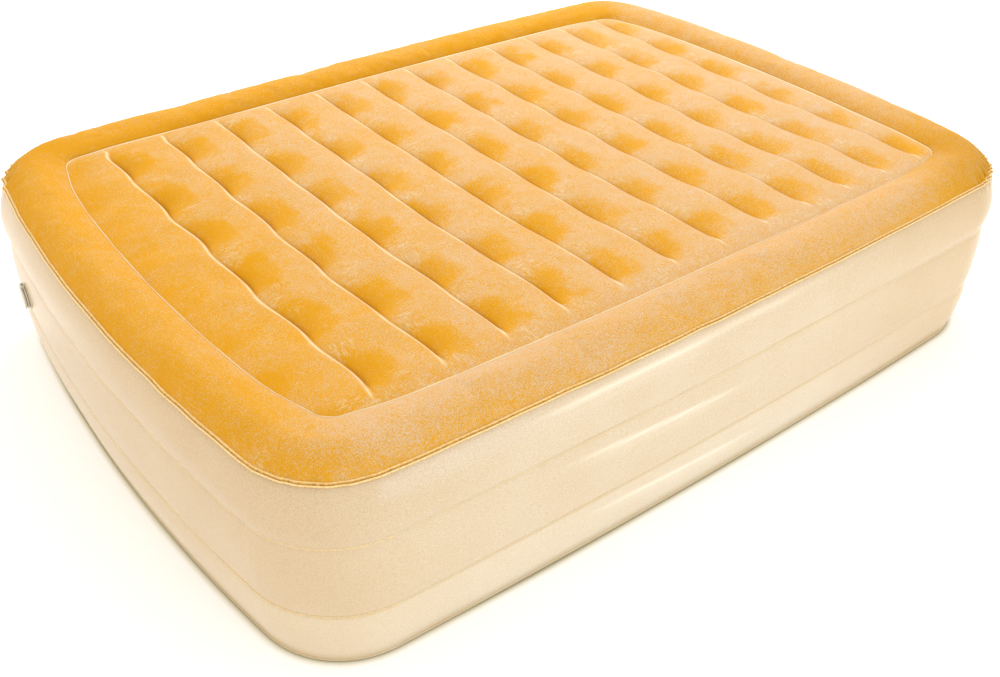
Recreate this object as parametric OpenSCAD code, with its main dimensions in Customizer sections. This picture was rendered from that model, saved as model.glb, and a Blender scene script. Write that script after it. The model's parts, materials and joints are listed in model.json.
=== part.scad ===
// Double-height inflatable air bed, double size, lying on its base and fully inflated.
// Millimetres. X runs along the length, Y across the width, Z up.
// The origin is on the floor under the middle of the bed.

/* [Bed] */
// Length over the top seam, at the middle of the bowed ends
bed_l = 1905; // [1880:1:1930]
// Width over the top seam, at the middle of the bowed sides
bed_w = 1372; // [1350:1:1400]
// Radius of the corners of the top seam
corner_r = 170; // [140:1:200]
// How far each end swells past its corners
end_bow = 33; // [20:1:45]
// How far each long side swells past its corners
side_bow = 15; // [8:1:25]
// Thickness that every sheet is drawn at
film = 2; // [1.5:0.1:2.5]

/* [Heights] */
// Height of the seam between the top sheet and the side wall
rim_z = 391; // [380:1:400]
// Height of the weld between the upper and the middle side band
upper_weld_z = 274; // [260:1:285]
// Height of the weld between the middle and the lower side band
lower_weld_z = 121; // [110:1:130]
// How far both side welds stand outside the top seam
weld_out = 16; // [10:1:20]
// Swell of the upper side band past the line between its welds
upper_bulge = 12; // [8:1:14]
// Swell of the middle side band
middle_bulge = 5; // [4:1:8]
// Swell of the lower side band
lower_bulge = 8; // [6:1:12]

/* [Top] */
// Width of the raised bolster around the sleeping surface
bolster_w = 110; // [100:1:120]
// Height of the weld along the inner edge of the bolster
inner_weld_z = 400; // [396:1:404]
// Swell of the bolster past the line between its two welds
bolster_bulge = 30; // [26:1:32]
// Number of crosswise channels in the sleeping surface
channels = 13; // [11:2:15]
// Height of the grooves between the channels
groove_z = 395; // [392:1:397]
// Rise of each channel above the grooves
channel_rise = 24; // [18:1:26]

/* [Inside] */
// Length of each crosswise beam under the sleeping surface
beam_l = 1060; // [1000:5:1080]
// Number of lengthwise beams in the middle and in the base chamber
base_beams = 5; // [3:2:5]
// Length of each lengthwise beam
base_beam_l = 1500; // [1300:10:1560]
// Width of the weld strips along the edges of each beam
beam_strip = 12; // [8:1:16]

/* [Valve] */
// Where the valve sits on the bowed end, as an angle of that bow
valve_angle = 6.4; // [5:0.1:7]
// Height of the valve's centre
valve_z = 183; // [170:1:200]
// Radius of the weld flange
flange_r = 28; // [27:0.5:30]
// Radius of the threaded hole in the weld flange's collar
collar_bore_r = 19.5; // [19:0.1:20]
// Radius of the inflation port, where a pump nozzle pushes in
port_r = 10.5; // [10:0.1:10.5]
// Travel of the push stem that lets air out
stem_travel = 3.5; // [2:0.5:3.5]

/* [Hidden] */
$fn = 96;
eps = 0.5;
flock_colour = "#F2AA40";
side_colour = "#EBDCB8";
inner_colour = "#D9D4C4";
valve_colour = "#F4F0E2";
seal_colour = "#55504A";
metal_colour = "#B9BCC0";

// Plan of the top seam: bowed ends and sides with tangent corner arcs.
end_a = corner_r + end_bow;
side_b = corner_r + side_bow;
corner_x = bed_l / 2 - end_a;
corner_y = bed_w / 2 - side_b;
end_r = (end_a * end_a + corner_y * corner_y - corner_r * corner_r) / (2 * end_bow);
side_r = (side_b * side_b + corner_x * corner_x - corner_r * corner_r) / (2 * side_bow);
end_half = atan2(corner_y, end_r - end_a);
side_half = atan2(corner_x, side_r - side_b);
corner_turn = 90 - end_half - side_half;

// Sleeping surface.
panel_l = bed_l - 2 * bolster_w;
channel_pitch = panel_l / channels;
channel_r = (channel_pitch * channel_pitch / 4 + channel_rise * channel_rise) / (2 * channel_rise);
channel_zc = groove_z + channel_rise - channel_r;
groove_under = channel_zc + sqrt((channel_r - film) * (channel_r - film) - channel_pitch * channel_pitch / 4);
panel_low = groove_under - film;
weld_strip_t = 4;
panel_edge = bolster_w + 4;
bolster_steps = 11;
section_steps = 8;

// Inner sheets and beams.
tie_half = film / 2;
air_hole_r = 28;
air_hole_pitch = 180;
sheet_hole_r = 45;
base_beam_pitch = 200;
strip_t = 1;

// Valve, measured along its own axis from the outer face of the wall.
flange_t = 1.2;
flange_depth = 4;
collar_wall = 2.5;
collar_depth = 18;
gasket_t = 1.2;
thread_gap = 0.3;
neck_r = collar_bore_r - thread_gap;
neck_wall = 2;
neck_depth = 16;
rim_r = 25;
rim_t = 3;
rim_low = flange_t + gasket_t;
rim_top = rim_low + rim_t;
port_wall = 2;
lip_h = 2.4;
lip_r = port_r + port_wall + 0.5;
port_mouth = rim_top + lip_h;
port_length = 14;
port_floor = port_mouth - port_length;
throat_r = 8.5;
seat_z = -24;
hub_r = 4.2;
hub_top = -17;
hub_t = 3;
stem_r = 2;
guide_gap = 0.05;
button_r = 5.5;
button_top = port_floor - 1.4;
button_t = 2;
seal_t = 1.2;
seal_in_r = 8;
poppet_r = 12.5;
poppet_t = 1.8;
coil_r = 3.4;
wire_r = 0.4;
coil_turns = 4.5;
cap_low = port_mouth + 0.8;
cap_t = 1.8;
cap_r = 24.5;
skirt_t = 2;
skirt_gap = 0.5;
skirt_low = rim_top + 0.4;
cap_lip_low = cap_low - 1.6;
hinge_y = 27.2;
hinge_z = port_mouth - 0.4;
knuckle_r = 2.6;
knuckle_half = 4;
ear_gap = 0.4;
ear_t = 3.6;
pin_r = 1.2;
tab_w = 10;
tab_y = 25;

// Centre and radius of the arc from p to q that stands out by s, on the outer side.
function arc_len(p, q) = norm(q - p);
function arc_r(p, q, s) = (arc_len(p, q) * arc_len(p, q) / 4 + s * s) / (2 * s);
function arc_out(p, q) = [abs(q.y - p.y), (p.x - q.x) * sign(q.y - p.y)] / arc_len(p, q);
function arc_mid(p, q, s, out) = (p + q) / 2 - out * (arc_r(p, q, s) - s);

// Wall corners in section: [offset outwards from the top seam, height].
rim_pt = [0, rim_z];
upper_pt = [weld_out, upper_weld_z];
lower_pt = [weld_out, lower_weld_z];
foot_pt = [0, 0];
inner_pt = [-bolster_w, inner_weld_z];
middle_out = arc_out(lower_pt, upper_pt);
middle_mid = arc_mid(lower_pt, upper_pt, middle_bulge, middle_out);
middle_r = arc_r(lower_pt, upper_pt, middle_bulge);

// The valve's seat on the wall.
valve_u = middle_mid.x + sqrt(middle_r * middle_r - (valve_z - middle_mid.y) * (valve_z - middle_mid.y));
valve_reach = end_r + valve_u;
valve_x = end_r - bed_l / 2 - valve_reach * cos(valve_angle);
valve_y = valve_reach * sin(valve_angle);

// Points of the plan, offset outwards by u, as one closed outline.
function quarter_points(u) = concat(
    [for (i = [0:5])
        let (t = end_half * i / 5)
        [bed_l / 2 - end_r + (end_r + u) * cos(t), (end_r + u) * sin(t)]],
    [for (i = [1:12])
        let (t = end_half + corner_turn * i / 12)
        [corner_x + (corner_r + u) * cos(t), corner_y + (corner_r + u) * sin(t)]],
    [for (i = [1:5])
        let (t = 90 - side_half + side_half * i / 5)
        [(side_r + u) * cos(t), bed_w / 2 - side_r + (side_r + u) * sin(t)]]
);
function plan_points(u) =
    let (q = quarter_points(u), last = len(q) - 1)
    concat(
        q,
        [for (i = [last - 1:-1:0]) [-q[i].x, q[i].y]],
        [for (i = [1:last]) [-q[i].x, -q[i].y]],
        [for (i = [last - 1:-1:1]) [q[i].x, -q[i].y]]
    );

module plan_sheet(u, low_z, high_z) {
    translate([0, 0, low_z])
        linear_extrude(high_z - low_z)
            polygon(plan_points(u));
}

// Sweeps a closed section of [offset, height] points once around the plan.
module perimeter_sweep(section) {
    rings = [for (s = section) [for (p = plan_points(s.x)) [p.x, p.y, s.y]]];
    n = len(rings[0]);
    m = len(rings);
    polyhedron(
        points = [for (ring = rings) each ring],
        faces = [
            for (j = [0:m - 1], i = [0:n - 1])
                [j * n + i, j * n + (i + 1) % n, (j + 1) % m * n + (i + 1) % n, (j + 1) % m * n + i]
        ]
    );
}

// Section of a side band that swells by s between p and q, from low_z up to high_z.
function band_side(c, r, low_z, high_z) = [
    for (i = [0:section_steps])
        let (z = low_z + (high_z - low_z) * i / section_steps)
        [c.x + sqrt(r * r - (z - c.y) * (z - c.y)), z]
];
function reversed(v) = [for (i = [len(v) - 1:-1:0]) v[i]];

module side_band(p, q, s, low_z, high_z) {
    r = arc_r(p, q, s);
    c = arc_mid(p, q, s, arc_out(p, q));
    perimeter_sweep(concat(
        band_side(c, r, low_z, high_z),
        reversed(band_side(c, r - film, low_z, high_z))
    ));
}

// Arc of the bolster's section from angle a to angle b about its centre c.
function bolster_arc(c, r, a, b) = [
    for (i = [0:bolster_steps])
        let (t = a + (b - a) * i / bolster_steps)
        [c.x + r * cos(t), c.y + r * sin(t)]
];

module bolster() {
    out = [abs(inner_pt.y - rim_pt.y), bolster_w] / arc_len(inner_pt, rim_pt);
    r = arc_r(inner_pt, rim_pt, bolster_bulge);
    c = arc_mid(inner_pt, rim_pt, bolster_bulge, out);
    strip_low = inner_weld_z - weld_strip_t;
    color(flock_colour)
        perimeter_sweep(concat(
            bolster_arc(c, r, asin((rim_z - c.y) / r), 180 - asin((inner_weld_z - c.y) / r)),
            [[-panel_edge, inner_weld_z], [-panel_edge, strip_low]],
            bolster_arc(
                c, r - film,
                180 - asin((strip_low - c.y) / (r - film)), asin((rim_z - c.y) / (r - film))
            )
        ));
}

// Crosswise channels as one block: half-round crowns side by side, cut to the panel's outline.
module channel_block(edge, r, low_z) {
    intersection() {
        plan_sheet(-edge, low_z, rim_z + bolster_w);
        rotate([90, 0, 0])
            linear_extrude(bed_w, center = true)
                for (i = [0:channels - 1])
                    translate([(i - (channels - 1) / 2) * channel_pitch, channel_zc])
                        circle(r);
    }
}

module sleeping_surface() {
    color(flock_colour)
        difference() {
            channel_block(panel_edge, channel_r, panel_low);
            channel_block(panel_edge + film, channel_r - film, panel_low - film);
        }
}

module edge_binding() {
    bead_r = 2.8;
    color(flock_colour)
        perimeter_sweep([
            for (i = [0:9])
                [bead_r + 0.4 + bead_r * cos(36 * i), rim_z + bead_r * sin(36 * i)]
        ]);
}

module upper_side_band() {
    color(side_colour)
        side_band(upper_pt, rim_pt, upper_bulge, upper_weld_z + tie_half, rim_z);
}

module middle_side_band() {
    color(side_colour)
        difference() {
            side_band(lower_pt, upper_pt, middle_bulge, lower_weld_z + tie_half, upper_weld_z - tie_half);
            at_valve()
                translate([0, 0, -flange_r])
                    cylinder(r = flange_r + 0.2, h = 2 * flange_r);
        }
}

module lower_side_band() {
    color(side_colour)
        side_band(foot_pt, lower_pt, lower_bulge, film, lower_weld_z - tie_half);
}

module bottom_sheet() {
    color(side_colour)
        plan_sheet(0, 0, film);
}

module perimeter_beam() {
    low = upper_weld_z + tie_half;
    color(inner_colour)
        translate([0, 0, low])
            linear_extrude(inner_weld_z - weld_strip_t - low)
                difference() {
                    polygon(plan_points(-bolster_w));
                    polygon(plan_points(-bolster_w - film));
                }
}

// A full sheet inside the bed, welded between two side bands, with holes that let the air through.
module tie_sheet(z) {
    color(inner_colour)
        difference() {
            plan_sheet(weld_out, z - tie_half, z + tie_half);
            for (x = [-650, -250, 250, 650], y = [-300, -100, 100, 300])
                translate([x, y, z - film])
                    cylinder(r = sheet_hole_r, h = 2 * film);
        }
}

module upper_tie_sheet() {
    tie_sheet(upper_weld_z);
}

module lower_tie_sheet() {
    tie_sheet(lower_weld_z);
}

// An I-shaped beam along Y: a web with air holes and a weld strip along each edge.
module beam(length, low_z, high_z, holes) {
    color(inner_colour) {
        difference() {
            translate([-film / 2, -length / 2, low_z])
                cube([film, length, high_z - low_z]);
            for (k = [0:holes - 1])
                translate([-film, (k - (holes - 1) / 2) * air_hole_pitch, (low_z + high_z) / 2])
                    rotate([0, 90, 0])
                        cylinder(r = air_hole_r, h = 2 * film);
        }
        for (z = [low_z, high_z - strip_t])
            translate([-beam_strip / 2, -length / 2, z])
                cube([beam_strip, length, strip_t]);
    }
}

module top_beam(i) {
    translate([(i - channels / 2) * channel_pitch, 0, 0])
        beam(beam_l, upper_weld_z + tie_half, groove_under, 5);
}

module lengthwise_beam(i, low_z, high_z) {
    translate([0, (i - (base_beams + 1) / 2) * base_beam_pitch, 0])
        rotate([0, 0, 90])
            beam(base_beam_l, low_z, high_z, 8);
}

// Puts a valve piece on the wall: its own Z points out of the wall and its own Y points up.
module at_valve() {
    translate([valve_x, valve_y, valve_z])
        rotate([90, 0, -90 - valve_angle])
            children();
}

module tube(outer, inner, low, high) {
    difference() {
        translate([0, 0, low])
            cylinder(r = outer, h = high - low);
        translate([0, 0, low - eps])
            cylinder(r = inner, h = high - low + 2 * eps);
    }
}

module valve_flange() {
    color(valve_colour)
        at_valve()
            difference() {
                union() {
                    translate([0, 0, -flange_depth])
                        cylinder(r = flange_r, h = flange_depth + flange_t);
                    translate([0, 0, -collar_depth])
                        cylinder(r = collar_bore_r + collar_wall, h = collar_depth);
                }
                translate([0, 0, -collar_depth - eps])
                    cylinder(r = collar_bore_r, h = collar_depth + flange_t + 2 * eps);
            }
}

module valve_gasket() {
    color(seal_colour)
        at_valve()
            tube(rim_r - 1, collar_bore_r + thread_gap, flange_t, rim_low);
}

// Pin hole of the cap hinge, along X.
module hinge_rod(r, half) {
    translate([-half, hinge_y, hinge_z])
        rotate([0, 90, 0])
            cylinder(r = r, h = 2 * half);
}

module hinge_ears() {
    low_x = knuckle_half + ear_gap;
    difference() {
        for (x = [low_x, -low_x - ear_t]) {
            translate([x, hinge_y, hinge_z])
                rotate([0, 90, 0])
                    cylinder(r = knuckle_r, h = ear_t);
            translate([x, hinge_y - 5, rim_low])
                cube([ear_t, 5 + knuckle_r, rim_t]);
            translate([x, hinge_y - knuckle_r, rim_low])
                cube([ear_t, 2 * knuckle_r, hinge_z - rim_low]);
        }
        hinge_rod(pin_r, low_x + ear_t + eps);
    }
}

module valve_insert() {
    color(valve_colour)
        at_valve() {
            tube(neck_r, neck_r - neck_wall, -neck_depth, rim_low);
            tube(rim_r, port_r, rim_low, rim_top);
            tube(lip_r, port_r, rim_top, port_mouth);
            tube(port_r + port_wall, port_r, port_floor, rim_low);
            tube(port_r + port_wall, throat_r, seat_z, port_floor);
            difference() {
                union() {
                    translate([0, 0, hub_top - hub_t])
                        cylinder(r = hub_r, h = hub_t);
                    for (k = [0:2])
                        rotate([0, 0, 120 * k])
                            translate([0, -1, hub_top - hub_t])
                                cube([throat_r + 1, 2, hub_t]);
                }
                translate([0, 0, hub_top - hub_t - eps])
                    cylinder(r = stem_r + guide_gap, h = hub_t + 2 * eps);
            }
            hinge_ears();
        }
}

module valve_stem() {
    low = seat_z - seal_t;
    color(valve_colour)
        at_valve() {
            translate([0, 0, low])
                cylinder(r = stem_r, h = button_top - low);
            translate([0, 0, button_top - button_t])
                cylinder(r = button_r, h = button_t);
        }
}

// A coil spring of round wire, as rings of points along a helix.
module stem_spring() {
    turn_steps = 20;
    ring = 8;
    last = coil_turns * turn_steps;
    low = hub_top + wire_r;
    rise = button_top - button_t - wire_r - low;
    color(metal_colour)
        at_valve()
            polyhedron(
                points = [
                    for (i = [0:last], k = [0:ring - 1])
                        let (t = 360 * i / turn_steps, a = 360 * k / ring, r = coil_r + wire_r * cos(a))
                        [r * cos(t), r * sin(t), low + rise * i / last + wire_r * sin(a)]
                ],
                faces = concat(
                    [[for (k = [0:ring - 1]) k]],
                    [[for (k = [ring - 1:-1:0]) last * ring + k]],
                    [
                        for (i = [0:last - 1], k = [0:ring - 1])
                            let (n = (k + 1) % ring)
                            [i * ring + k, (i + 1) * ring + k, (i + 1) * ring + n, i * ring + n]
                    ]
                )
            );
}

module poppet_seal() {
    color(seal_colour)
        at_valve()
            tube(poppet_r - 0.5, seal_in_r, seat_z - seal_t, seat_z);
}

module poppet() {
    color(valve_colour)
        at_valve()
            translate([0, 0, seat_z - seal_t - poppet_t])
                cylinder(r = poppet_r, h = poppet_t);
}

module valve_cap() {
    color(valve_colour)
        at_valve() {
            translate([0, 0, cap_low])
                cylinder(r = cap_r, h = cap_t);
            tube(lip_r + skirt_gap + skirt_t, lip_r + skirt_gap, skirt_low, cap_low);
            tube(cap_r, cap_r - skirt_t, cap_lip_low, cap_low);
            translate([-tab_w / 2, -tab_y, cap_low])
                cube([tab_w, tab_w, cap_t]);
            translate([0, -tab_y, cap_low])
                cylinder(r = tab_w / 2, h = cap_t);
            difference() {
                union() {
                    hinge_rod(knuckle_r, knuckle_half);
                    translate([-knuckle_half, hinge_y - 5, cap_low])
                        cube([2 * knuckle_half, 5, cap_t - 0.4]);
                }
                hinge_rod(pin_r + guide_gap, knuckle_half + eps);
            }
        }
}

module cap_gasket() {
    color(seal_colour)
        at_valve()
            tube(lip_r, port_r + 1, port_mouth, cap_low);
}

module cap_hinge_pin() {
    color(metal_colour)
        at_valve()
            hinge_rod(pin_r, knuckle_half + ear_gap + ear_t);
}

bolster();
sleeping_surface();
edge_binding();
upper_side_band();
middle_side_band();
lower_side_band();
bottom_sheet();
perimeter_beam();
upper_tie_sheet();
lower_tie_sheet();
for (i = [1:12])
    top_beam(i);
for (i = [1:5]) {
    lengthwise_beam(i, lower_weld_z + tie_half, upper_weld_z - tie_half);
    lengthwise_beam(i, film, lower_weld_z - tie_half);
}
valve_flange();
valve_gasket();
valve_insert();
valve_stem();
stem_spring();
poppet();
poppet_seal();
valve_cap();
cap_gasket();
cap_hinge_pin();
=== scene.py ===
import json
import math

import bmesh
import bpy
import numpy as np
from mathutils import Matrix, Vector


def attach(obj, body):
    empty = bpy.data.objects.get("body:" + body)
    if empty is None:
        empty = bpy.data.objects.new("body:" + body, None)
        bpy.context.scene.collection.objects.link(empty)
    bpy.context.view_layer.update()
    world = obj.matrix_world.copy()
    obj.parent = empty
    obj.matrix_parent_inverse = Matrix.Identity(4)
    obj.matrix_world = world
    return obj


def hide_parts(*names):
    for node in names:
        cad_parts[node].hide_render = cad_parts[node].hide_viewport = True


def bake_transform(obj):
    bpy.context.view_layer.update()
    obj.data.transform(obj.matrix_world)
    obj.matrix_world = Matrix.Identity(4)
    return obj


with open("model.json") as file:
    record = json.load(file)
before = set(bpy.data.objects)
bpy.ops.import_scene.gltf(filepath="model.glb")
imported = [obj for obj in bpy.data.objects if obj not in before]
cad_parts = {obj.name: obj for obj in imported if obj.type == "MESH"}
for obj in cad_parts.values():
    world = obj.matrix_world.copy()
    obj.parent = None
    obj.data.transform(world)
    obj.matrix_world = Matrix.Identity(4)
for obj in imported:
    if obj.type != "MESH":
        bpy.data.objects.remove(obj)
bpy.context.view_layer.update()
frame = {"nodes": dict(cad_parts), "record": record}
joints = {joint["name"]: joint for joint in frame["record"]["behaviour"]["joints"]}
valve_turn = joints["insert_turn"]

# ---------------------------------------------------------------- plan of the bed
# the top seam: its length, width and corner radius, and how far its ends and its sides bow out
LENGTH, WIDTH, CORNER = 1.905, 1.372, 0.170
END_BOW, SIDE_BOW = 0.033, 0.015
# heights of the top seam and of the wall's two welds, and how far outside the seam those welds stand
RIM_Z, UPPER_Z, LOWER_Z = 0.391, 0.274, 0.121
WELD_OUT = 0.016
# the bolster's width and the height of its inner weld, which lies WELD_LIFT higher along the -X and -Y sides
BOLSTER_W, INNER_Z, WELD_LIFT = 0.110, 0.400, 0.013
# the inner weld cuts each corner by WELD_CUT, fading over CUT_SPREAD from a point CUT_SHIFT of the way out
WELD_CUT, CUT_SPREAD, CUT_SHIFT = 0.017, 0.10, 0.7
# the sleeping surface's channels, with one groove between each two
PITCH, CHANNELS = 0.1292, 13
GROOVES = CHANNELS - 1
# numbers of the plan's corners, anticlockwise, and the mark of an arc between two of them
BACK_RIGHT, BACK_LEFT, FRONT_LEFT, FRONT_RIGHT = range(4)
STRAIGHT = -1

end_a, side_b = CORNER + END_BOW, CORNER + SIDE_BOW
corner_x, corner_y = LENGTH / 2 - end_a, WIDTH / 2 - side_b
end_r = (end_a**2 + corner_y**2 - CORNER**2) / (2 * END_BOW)
side_r = (side_b**2 + corner_x**2 - CORNER**2) / (2 * SIDE_BOW)
end_half = math.atan2(corner_y, end_r - end_a)
side_half = math.atan2(corner_x, side_r - side_b)
end_c, side_c = LENGTH / 2 - end_r, WIDTH / 2 - side_r


def arcs():
    """The plan's arcs, anticlockwise from the middle of the +X end: centre, radius, angles and corner."""
    half, quarter = math.pi, math.pi / 2
    return [
        (end_c, 0, end_r, 0, end_half, STRAIGHT),
        (corner_x, corner_y, CORNER, end_half, quarter - side_half, BACK_RIGHT),
        (0, side_c, side_r, quarter - side_half, quarter + side_half, STRAIGHT),
        (-corner_x, corner_y, CORNER, quarter + side_half, half - end_half, BACK_LEFT),
        (-end_c, 0, end_r, half - end_half, half + end_half, STRAIGHT),
        (-corner_x, -corner_y, CORNER, half + end_half, 3 * quarter - side_half, FRONT_LEFT),
        (0, -side_c, side_r, 3 * quarter - side_half, 3 * quarter + side_half, STRAIGHT),
        (corner_x, -corner_y, CORNER, 3 * quarter + side_half, 2 * half - end_half, FRONT_RIGHT),
        (end_c, 0, end_r, 2 * half - end_half, 2 * half, STRAIGHT),
    ]


def perimeter(step, corner_step):
    """Columns around the plan: each one's arc (cx, cy, r), angle a, place s along the seam, and distance from
    the middle of each of the four corners (near)."""
    out, along, mids = [], 0.0, {}
    for cx, cy, r, a, b, corner in arcs():
        length = r * (b - a)
        n = max(4, round(length / (step if corner == STRAIGHT else corner_step)))
        t = np.arange(n) / n
        out.append(np.stack([0 * t + cx, 0 * t + cy, 0 * t + r, a + (b - a) * t, along + length * t]))
        if corner != STRAIGHT:
            mids[corner] = along + length / 2
        along += length
    cx, cy, r, a, s = np.concatenate(out, 1)
    away = [np.abs(s - mids[k]) for k in range(4)]
    near = [np.minimum(d, along - d) for d in away]
    return {"cx": cx, "cy": cy, "r": r, "a": a, "s": s, "near": near, "total": along}


def place(col, u, z):
    """Points at offset u outside the top seam and height z, for arrays of rows by columns."""
    x = col["cx"] + (col["r"] + u) * np.cos(col["a"])
    y = col["cy"] + (col["r"] + u) * np.sin(col["a"])
    return np.stack([x, y, z + 0 * x], -1)


def offset_of(x, y):
    """How far outside the top seam each point of the plan lies; negative inside."""
    ax, ay = np.abs(x), np.abs(y)
    end = np.hypot(ax - end_c, ay) - end_r
    side = np.hypot(ax, ay - side_c) - side_r
    dx, dy = ax - corner_x, ay - corner_y
    angle = np.arctan2(dy, dx)
    outer = (dx > -0.02) & (dy > -0.02)
    corner = outer & (angle > end_half) & (angle < math.pi / 2 - side_half)
    return np.where(corner, np.hypot(dx, dy) - CORNER, np.maximum(end, side))


def inner_weld(x, y):
    """How far inside the top seam the bolster's inner weld runs; it cuts the corners with a rounder curve."""
    shift = CUT_SHIFT * (CORNER - BOLSTER_W)
    cut = 0
    for i in (-1, 1):
        for j in (-1, 1):
            cx, cy = i * (corner_x + shift), j * (corner_y + shift)
            cut = cut + np.exp(-((x - cx) ** 2 + (y - cy) ** 2) / CUT_SPREAD**2)
    return BOLSTER_W + WELD_CUT * cut


def smooth(a, b, x):
    """0 below a, 1 above b, and a smooth step between them."""
    t = np.clip((x - a) / (b - a), 0, 1)
    return t * t * (3 - 2 * t)


def hill(x, width, power=2):
    """A smooth hill: 1 at x = 0 and 1/e at that width to either side; a higher power makes it flatter."""
    return np.exp(-((x / width) ** power))


def noise(x, y, seed, period=None):
    """Smooth noise from -1 to 1 with one feature per unit; with period, x wraps after that many units."""
    rng = np.random.RandomState(seed)
    lattice = rng.uniform(-1, 1, (256, 256))
    xi, yi = np.floor(x).astype(int), np.floor(y).astype(int)
    fx, fy = x - xi, y - yi
    fx, fy = fx * fx * (3 - 2 * fx), fy * fy * (3 - 2 * fy)
    wrap = 256 if period is None else period

    def at(i, j):
        return lattice[(i % wrap) % 256, j % 256]

    low = at(xi, yi) * (1 - fx) + at(xi + 1, yi) * fx
    high = at(xi, yi + 1) * (1 - fx) + at(xi + 1, yi + 1) * fx
    return low * (1 - fy) + high * fy


def ring_noise(col, per_metre, v, seed):
    """Noise around the bed that closes on itself."""
    units = max(3, round(col["total"] * per_metre))
    return noise(col["s"] / col["total"] * units, v, seed, units)


# ---------------------------------------------------------------- meshes
def mesh_object(name, points, faces, material):
    """A smooth-shaded mesh; faces is an array of quads or a list of faces."""
    if isinstance(faces, np.ndarray):
        faces = faces.tolist()
    mesh = bpy.data.meshes.new(name)
    mesh.from_pydata(points.reshape(-1, 3).tolist(), [], faces)
    mesh.validate()
    mesh.update()
    mesh.polygons.foreach_set("use_smooth", [True] * len(mesh.polygons))
    mesh.materials.append(material)
    obj = bpy.data.objects.new(name, mesh)
    bpy.context.scene.collection.objects.link(obj)
    return obj


def swept(name, points, material):
    """A surface from rows of points that each run once around the bed."""
    rows, n = points.shape[:2]
    i = np.arange(n)
    k = (i + 1) % n
    faces = [np.stack([j * n + i, j * n + k, (j + 1) * n + k, (j + 1) * n + i], 1) for j in range(rows - 1)]
    return mesh_object(name, points, np.concatenate(faces), material)


def paint(obj, **layers):
    """Store values that the materials read, one for each point of the mesh."""
    for name, values in layers.items():
        layer = obj.data.attributes.new(name, "FLOAT", "POINT")
        layer.data.foreach_set("value", np.asarray(values, np.float32).ravel())


# ---------------------------------------------------------------- materials
# the flock: its deep colour, two steps to its palest painted sheen, the pale of brush marks painted as sheen,
# the pale painted highlight along the grooves' lips, and painted shade for creases, folds and corners
FLOCK_DEEP, FLOCK_WARM = (0.665, 0.310, 0.010), (0.645, 0.340, 0.050)
FLOCK_PEACH_SHEEN, FLOCK_PALE_SHEEN = (0.625, 0.400, 0.205), (0.630, 0.455, 0.305)
FLOCK_STROKE_SHEEN, FLOCK_RIM_SHEEN = (0.75, 0.60, 0.37), (0.80, 0.68, 0.44)
FLOCK_SHADE = (0.28, 0.13, 0.008)
# the vinyl: white, then its painted shade, darker and yellower; the pale colour of its painted highlights;
# and its own deep and pale spots
WHITE, SHADED_WARM, PAINTED_GLINT = (1.0, 1.0, 1.0), (0.83, 0.71, 0.51), (0.88, 0.80, 0.64)
DEEP_SPOT, PALE_SPOT, PALEST = (0.92, 0.87, 0.78), (1.03, 1.07, 1.14), 0.97
# the rim's lip, from the crease between its sheets and the painted shade under it, to the painted highlight
# on top of its beads
PIPING_CREASE, PIPING_SIDE, PIPING_BEAD_HIGHLIGHT = (0.36, 0.17, 0.015), (0.70, 0.38, 0.07), (0.86, 0.68, 0.34)


def new_material(name, **values):
    """A material, its node tree and its shader, with values set on the shader's own sockets."""
    mat = bpy.data.materials.new(name)
    mat.use_nodes = True
    shader = mat.node_tree.nodes["Principled BSDF"]
    for key, value in values.items():
        shader.inputs[key.replace("_", " ")].default_value = value
    return mat, mat.node_tree, shader


def node(tree, kind, **settings):
    """A node, with each setting put on its property or on its input of that name."""
    made = tree.nodes.new(kind)
    for key, value in settings.items():
        if key in made.bl_rna.properties:
            setattr(made, key, value)
        else:
            made.inputs[key.replace("_", " ")].default_value = value
    return made


def math_node(tree, operation, a, b=None):
    """The result of a math node on one or two values; each is a socket or a number."""
    made = node(tree, "ShaderNodeMath", operation=operation)
    for socket, value in zip(made.inputs, (a, b)):
        if value is None:
            continue
        if isinstance(value, (int, float)):
            socket.default_value = value
        else:
            tree.links.new(value, socket)
    return made.outputs[0]


def texture(tree, scale, detail=2.0, rough=0.5, stretch=(1, 1, 1), turn=0.0):
    """Noise in the bed's own coordinates, in features per metre."""
    place_by = node(tree, "ShaderNodeTexCoord")
    mapping = node(tree, "ShaderNodeMapping")
    mapping.inputs["Scale"].default_value = stretch
    mapping.inputs["Rotation"].default_value = (0, 0, turn)
    tree.links.new(place_by.outputs["Object"], mapping.inputs["Vector"])
    tex = node(tree, "ShaderNodeTexNoise", Scale=scale, Detail=detail, Roughness=rough)
    tree.links.new(mapping.outputs[0], tex.inputs["Vector"])
    return tex.outputs["Fac"]


def ramp(tree, value, stops):
    """The colour that value picks from a ramp of (position, colour) stops."""
    made = node(tree, "ShaderNodeValToRGB")
    tree.links.new(value, made.inputs["Fac"])
    elements = made.color_ramp.elements
    while len(elements) < len(stops):
        elements.new(0.5)
    for element, (at, colour) in zip(elements, stops):
        element.position = at
        element.color = (*colour, 1)
    return made.outputs["Color"]


def bump(tree, shader, height, distance, strength):
    """Relief of that height and depth in metres on the shader."""
    made = node(tree, "ShaderNodeBump", Distance=distance, Strength=strength)
    tree.links.new(height, made.inputs["Height"])
    tree.links.new(made.outputs["Normal"], shader.inputs["Normal"])


def mix(tree, factor, a, b):
    """Blend of two colours; each is a socket or a plain triple."""
    made = node(tree, "ShaderNodeMix", data_type="RGBA")
    tree.links.new(factor, made.inputs["Factor"])
    for socket, value in ((made.inputs["A"], a), (made.inputs["B"], b)):
        if isinstance(value, tuple):
            socket.default_value = (*value, 1)
        else:
            tree.links.new(value, socket)
    return made.outputs["Result"]


def attribute(tree, name):
    """The values that paint() stored under that name."""
    return node(tree, "ShaderNodeAttribute", attribute_name=name).outputs["Fac"]


def add(tree, *values):
    """The sum of two or more sockets."""
    total = values[0]
    for value in values[1:]:
        total = math_node(tree, "ADD", total, value)
    return total


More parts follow.
